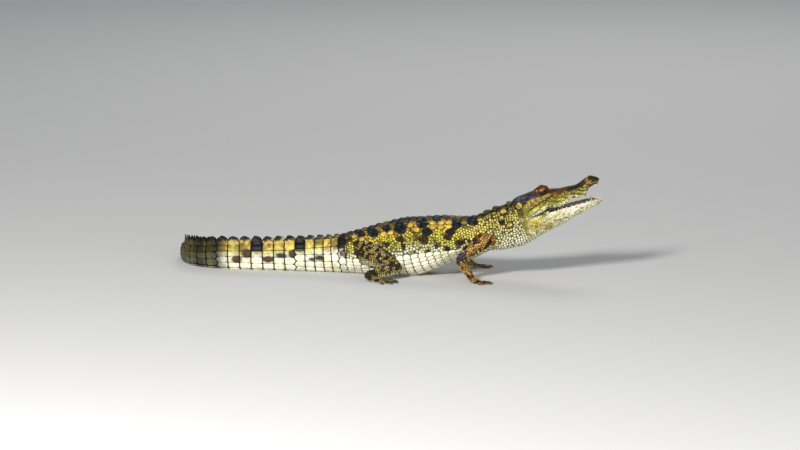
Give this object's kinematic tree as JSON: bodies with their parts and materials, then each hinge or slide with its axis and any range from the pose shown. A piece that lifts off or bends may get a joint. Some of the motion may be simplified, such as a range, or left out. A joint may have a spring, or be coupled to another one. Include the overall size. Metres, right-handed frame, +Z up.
{
  "type": "crocodile",
  "caption": "Young crocodile at rest, belly and tail on the ground, neck and head raised, jaws slightly open: a still, life-size museum model with a scaly hide.",
  "frame": {"origin": "on the floor, in the middle of the front of the belly's resting flat", "axes": "+X towards the head, +Z up, the animal's right side faces -Y"},
  "size_m": [0.9548, 0.5492, 0.2282],
  "materials": {
    "hide": "satin, scaly, yellow-green and olive with black blotches",
    "pale_hide": "satin, cream-white scales on the jaw and belly",
    "eye": "wet gloss, golden iris with an upright slit",
    "horn": "dark worn horn",
    "mouth": "moist flesh",
    "tooth": "ivory enamel"
  },
  "bodies": {
    "root": {"skull": "hide", "lower_jaw": "pale_hide", "tongue": "mouth", "eye_right": "eye", "eye_left": "eye", "neck": "hide", "trunk": "hide", "tail_base": "hide", "tail_middle": "hide", "tail_rear": "hide", "tail_end": "hide", "upper_arm_right": "hide", "forearm_right": "hide", "hand_right": "hide", "claw_hand_right_1": "horn", "claw_hand_right_2": "horn", "claw_hand_right_3": "horn", "upper_arm_left": "hide", "forearm_left": "hide", "hand_left": "hide", "claw_hand_left_1": "horn", "claw_hand_left_2": "horn", "claw_hand_left_3": "horn", "thigh_right": "hide", "shank_right": "hide", "foot_right": "hide", "claw_foot_right_1": "horn", "claw_foot_right_2": "horn", "claw_foot_right_3": "horn", "thigh_left": "hide", "shank_left": "hide", "foot_left": "hide", "claw_foot_left_1": "horn", "claw_foot_left_2": "horn", "claw_foot_left_3": "horn"}
  },
  "joints": []
}
